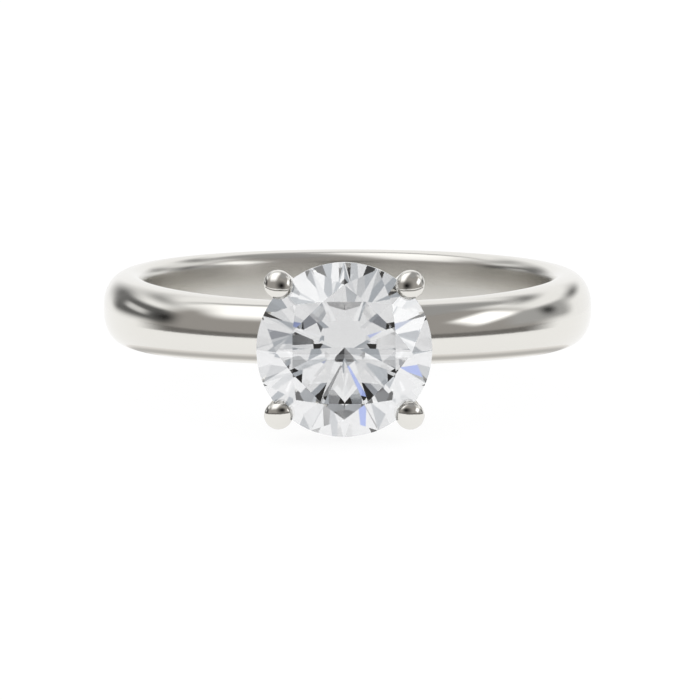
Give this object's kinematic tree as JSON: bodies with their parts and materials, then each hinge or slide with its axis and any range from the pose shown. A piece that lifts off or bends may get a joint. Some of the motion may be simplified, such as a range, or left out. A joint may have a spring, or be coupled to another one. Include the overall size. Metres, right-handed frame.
{
  "type": "engagement ring",
  "caption": "Solitaire engagement ring: a plain domed comfort-fit band carries a claw head on gallery rails that holds a round brilliant stone up and away from the finger.",
  "frame": {"origin": "centre of the finger hole", "axes": "+Z along the finger hole, up in the view the part was made from; the stone faces -Y; +X to the right when looking at the stone"},
  "size_m": [0.0198, 0.0244, 0.0066],
  "materials": {
    "polished_metal": "mirror polished platinum or rhodium-plated white gold",
    "solder": "polished white solder",
    "diamond": "polished facets, colourless"
  },
  "bodies": {
    "root": {"shank": "polished_metal", "diamond": "diamond", "claw_upper_left": "polished_metal", "claw_upper_right": "polished_metal", "claw_lower_left": "polished_metal", "claw_lower_right": "polished_metal", "upper_gallery_rail": "polished_metal", "lower_gallery_rail": "polished_metal", "head_collar": "polished_metal", "head_solder": "solder"}
  },
  "joints": []
}
